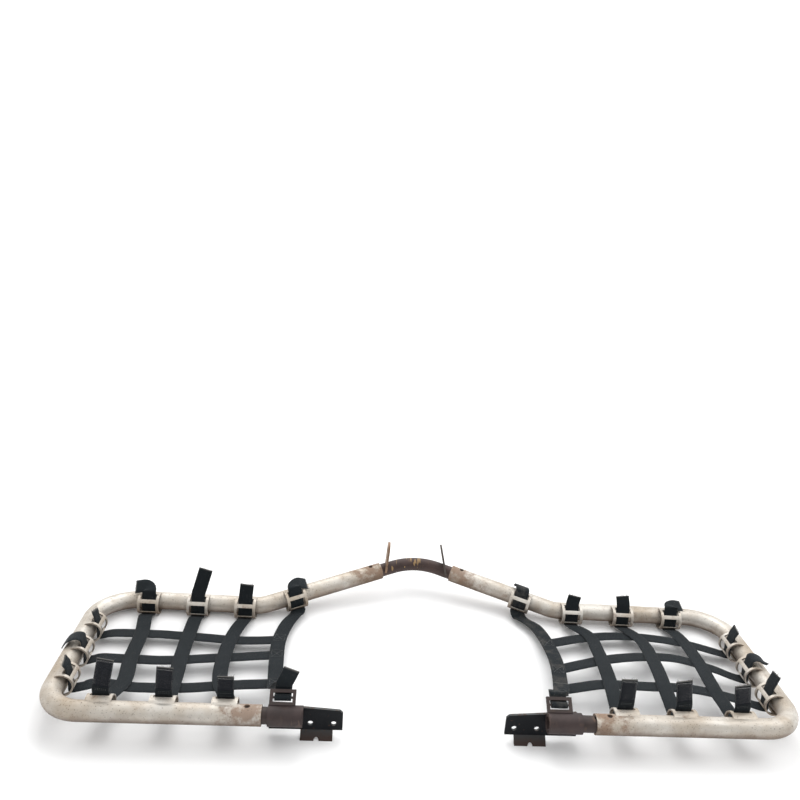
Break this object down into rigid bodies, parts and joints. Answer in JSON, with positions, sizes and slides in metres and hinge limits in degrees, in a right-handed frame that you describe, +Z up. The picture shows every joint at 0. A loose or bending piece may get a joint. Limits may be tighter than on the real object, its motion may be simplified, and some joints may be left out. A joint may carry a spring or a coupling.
{
  "type": "quad bike foot guards",
  "caption": "Pair of bent aluminium foot guards for a quad bike, each with a webbing net in its loop, joined by a bent rear crossbar and carried by bolt-on front brackets.",
  "frame": {"origin": "centre of the whole set in plan, on the floor that the feet of the front brackets stand on", "axes": "+X from the left bar to the right bar, across the quad bike; +Y to the rear; +Z up"},
  "size_m": [1.2123, 0.4635, 0.1222],
  "materials": {
    "tube_aluminium": "weathered",
    "holder_aluminium": "weathered",
    "bar_steel": "rust-stained",
    "ear_steel": "rust-stained",
    "sleeve_steel": "rust-stained",
    "plate_steel": "worn black paint",
    "webbing": "woven"
  },
  "bodies": {
    "crossbar": {"rear_crossbar": "bar_steel", "left_ear": "ear_steel", "right_ear": "ear_steel"},
    "left_bar": {"left_side_tube": "tube_aluminium", "left_rear_holder_1": "holder_aluminium", "left_rear_holder_2": "holder_aluminium", "left_rear_holder_3": "holder_aluminium", "left_rear_holder_4": "holder_aluminium", "left_side_holder_1": "holder_aluminium", "left_side_holder_2": "holder_aluminium", "left_side_holder_3": "holder_aluminium", "left_front_holder_1": "holder_aluminium", "left_front_holder_2": "holder_aluminium", "left_front_holder_3": "holder_aluminium", "left_cross_strap_1": "webbing", "left_cross_strap_2": "webbing", "left_cross_strap_3": "webbing", "left_cross_strap_4": "webbing", "left_long_strap_1": "webbing", "left_long_strap_2": "webbing", "left_long_strap_3": "webbing"},
    "left_bracket": {"left_stub_tube": "bar_steel", "left_bracket_sleeve": "sleeve_steel", "left_bracket_plate": "plate_steel", "left_strap_loop": "sleeve_steel"},
    "right_bar": {"right_side_tube": "tube_aluminium", "right_rear_holder_1": "holder_aluminium", "right_rear_holder_2": "holder_aluminium", "right_rear_holder_3": "holder_aluminium", "right_rear_holder_4": "holder_aluminium", "right_side_holder_1": "holder_aluminium", "right_side_holder_2": "holder_aluminium", "right_side_holder_3": "holder_aluminium", "right_front_holder_1": "holder_aluminium", "right_front_holder_2": "holder_aluminium", "right_front_holder_3": "holder_aluminium", "right_cross_strap_1": "webbing", "right_cross_strap_2": "webbing", "right_cross_strap_3": "webbing", "right_cross_strap_4": "webbing", "right_long_strap_1": "webbing", "right_long_strap_2": "webbing", "right_long_strap_3": "webbing"},
    "right_bracket": {"right_stub_tube": "bar_steel", "right_bracket_sleeve": "sleeve_steel", "right_bracket_plate": "plate_steel", "right_strap_loop": "sleeve_steel"}
  },
  "joints": [
    {"name": "left_bar_slide", "type": "slide", "parent": "crossbar", "child": "left_bar", "axis": [-0.9207, -0.3718, -0.1189], "range_m": [0, 0.04]},
    {"name": "right_bar_slide", "type": "slide", "parent": "crossbar", "child": "right_bar", "axis": [0.9207, -0.3718, -0.1189], "range_m": [0, 0.04]},
    {"name": "left_bracket_slide", "type": "slide", "parent": "left_bar", "child": "left_bracket", "axis": [1, 0, 0], "range_m": [-0.008, 0.03]},
    {"name": "right_bracket_slide", "type": "slide", "parent": "right_bar", "child": "right_bracket", "axis": [-1, 0, 0], "range_m": [-0.02, 0.03]}
  ]
}
